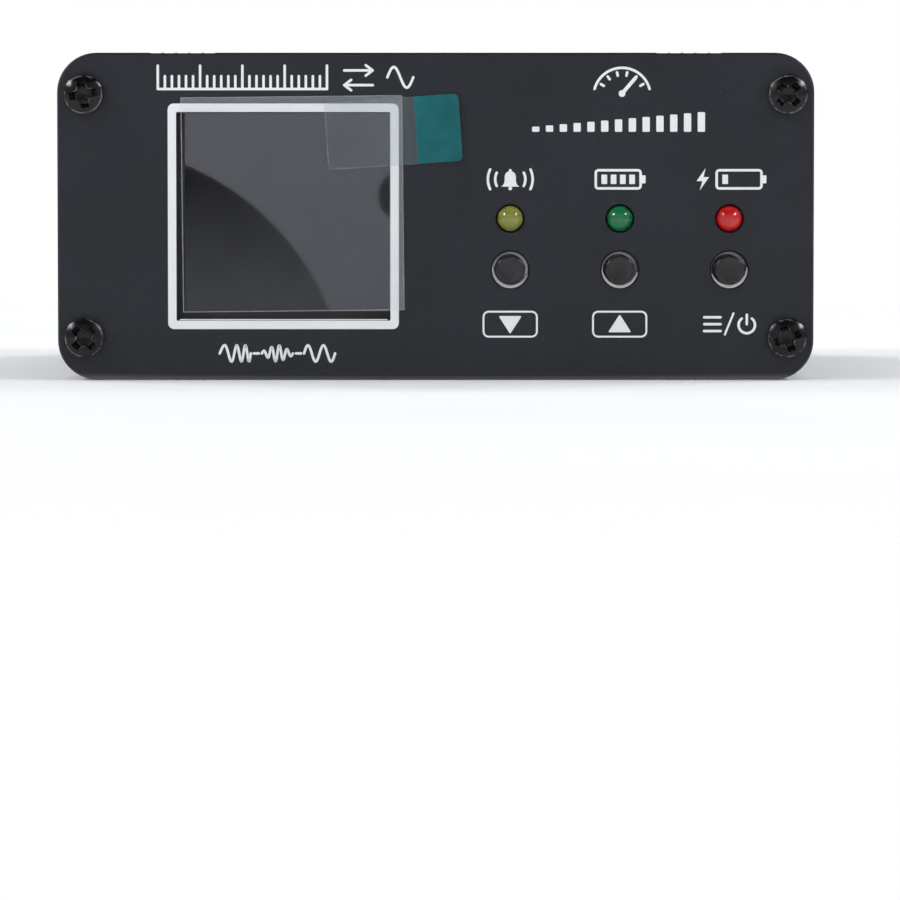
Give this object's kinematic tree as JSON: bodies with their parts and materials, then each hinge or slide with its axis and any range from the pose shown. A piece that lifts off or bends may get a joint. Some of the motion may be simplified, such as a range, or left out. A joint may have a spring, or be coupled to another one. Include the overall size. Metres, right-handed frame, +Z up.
{
  "type": "swr meter",
  "caption": "Pocket SWR and power meter in a flat black extruded case: colour display, indicator lamps and push-buttons in front; UHF sockets, charging port and rocker switch behind.",
  "frame": {"origin": "centre of the underside of the whole object's box", "axes": "+Z up, +Y towards the sockets on the rear plate, -Y out of the display, +X to the right seen from the front"},
  "size_m": [0.088, 0.1174, 0.038],
  "materials": {
    "anodised_black": "satin black anodising",
    "plate_black": "fine brushed black anodising",
    "screw_black": "glossy black zinc",
    "display_glass": "dark glossy polariser",
    "display_black": "matt black",
    "backlight_white": "white diffuser",
    "board_green": "green solder mask",
    "board_blue": "blue solder mask",
    "film_clear": "clear film",
    "tab_teal": "teal tape",
    "lamp_yellow": "diffused yellow resin",
    "lamp_green": "diffused green resin",
    "lamp_red": "diffused red resin",
    "tinned": "tinned",
    "gold": "gold plated",
    "nickel": "nickel plated brass",
    "insulator_white": "smooth white",
    "button_black": "moulded black",
    "switch_black": "fine moulded grain",
    "rocker_red": "satin red",
    "ivory_plastic": "natural nylon",
    "copper": "enamelled copper",
    "ferrite": "dark ferrite",
    "cell_foil": "laminated foil",
    "foam_tape": "white foam tape",
    "lead_sleeve": "red sleeve",
    "port_steel": "bright stainless"
  },
  "bodies": {
    "case": {"case_upper": "anodised_black", "case_lower": "anodised_black", "front_plate": "plate_black", "rear_plate": "plate_black", "front_screws": "screw_black", "rear_screws": "screw_black", "display_frame": "display_black", "display_glass": "display_glass", "display_backlight": "backlight_white", "display_board": "board_blue", "display_header": "button_black", "protective_film": "film_clear", "pull_tab": "tab_teal", "lamp_alert": "lamp_yellow", "lamp_full": "lamp_green", "lamp_charge": "lamp_red", "lamp_leads": "tinned", "switch_base_down": "switch_black", "switch_base_up": "switch_black", "switch_base_mode": "switch_black", "switch_covers": "tinned", "snap_discs": "tinned", "front_board": "board_green", "board_header": "button_black", "main_board": "board_green", "microcontroller": "button_black", "charger_chip": "button_black", "detector_diodes": "copper", "toroid_current": "ferrite", "toroid_voltage": "ferrite", "winding_current": "copper", "winding_voltage": "copper", "coupler_line": "copper", "sample_line": "copper", "buzzer": "button_black", "battery_cell": "cell_foil", "battery_tape": "foam_tape", "battery_leads": "lead_sleeve", "battery_plug": "ivory_plastic", "battery_socket": "ivory_plastic", "usb_shell": "port_steel", "usb_tongue": "button_black", "rocker_housing": "switch_black", "rocker_terminals": "tinned", "power_wires": "lead_sleeve", "socket_shells": "nickel", "socket_insulators": "insulator_white", "contact_antenna": "gold", "contact_transmitter": "gold", "socket_nuts": "nickel", "lock_washers": "tinned", "ground_lugs": "tinned"},
    "button_down": {"button_down": "button_black"},
    "button_up": {"button_up": "button_black"},
    "button_mode": {"button_mode": "button_black"},
    "rocker": {"rocker_paddle": "rocker_red", "rocker_plunger": "ivory_plastic", "rocker_spring": "tinned"},
    "switch_contact": {"contact_lever": "copper"}
  },
  "joints": [
    {"name": "button_down_press", "type": "slide", "parent": "case", "child": "button_down", "axis": [0, 1, 0], "range_m": [0, 0.00025], "stiffness_N_per_m": 1200},
    {"name": "button_up_press", "type": "slide", "parent": "case", "child": "button_up", "axis": [0, 1, 0], "range_m": [0, 0.00025], "stiffness_N_per_m": 1200},
    {"name": "button_mode_press", "type": "slide", "parent": "case", "child": "button_mode", "axis": [0, 1, 0], "range_m": [0, 0.00025], "stiffness_N_per_m": 1200},
    {"name": "rocker_tilt", "type": "hinge", "parent": "case", "child": "rocker", "pos_m": [0.0362, 0.04395, 0.02195], "axis": [1, 0, 0], "range_deg": [0, 28]},
    {"name": "contact_rock", "type": "hinge", "parent": "case", "child": "switch_contact", "pos_m": [0.0362, 0.0364, 0.02195], "axis": [1, 0, 0], "range_deg": [-12.1, 0.1]}
  ],
  "couplings": [
    {"joint": "contact_rock", "follows": "rocker_tilt", "ratio": -0.42857}
  ]
}
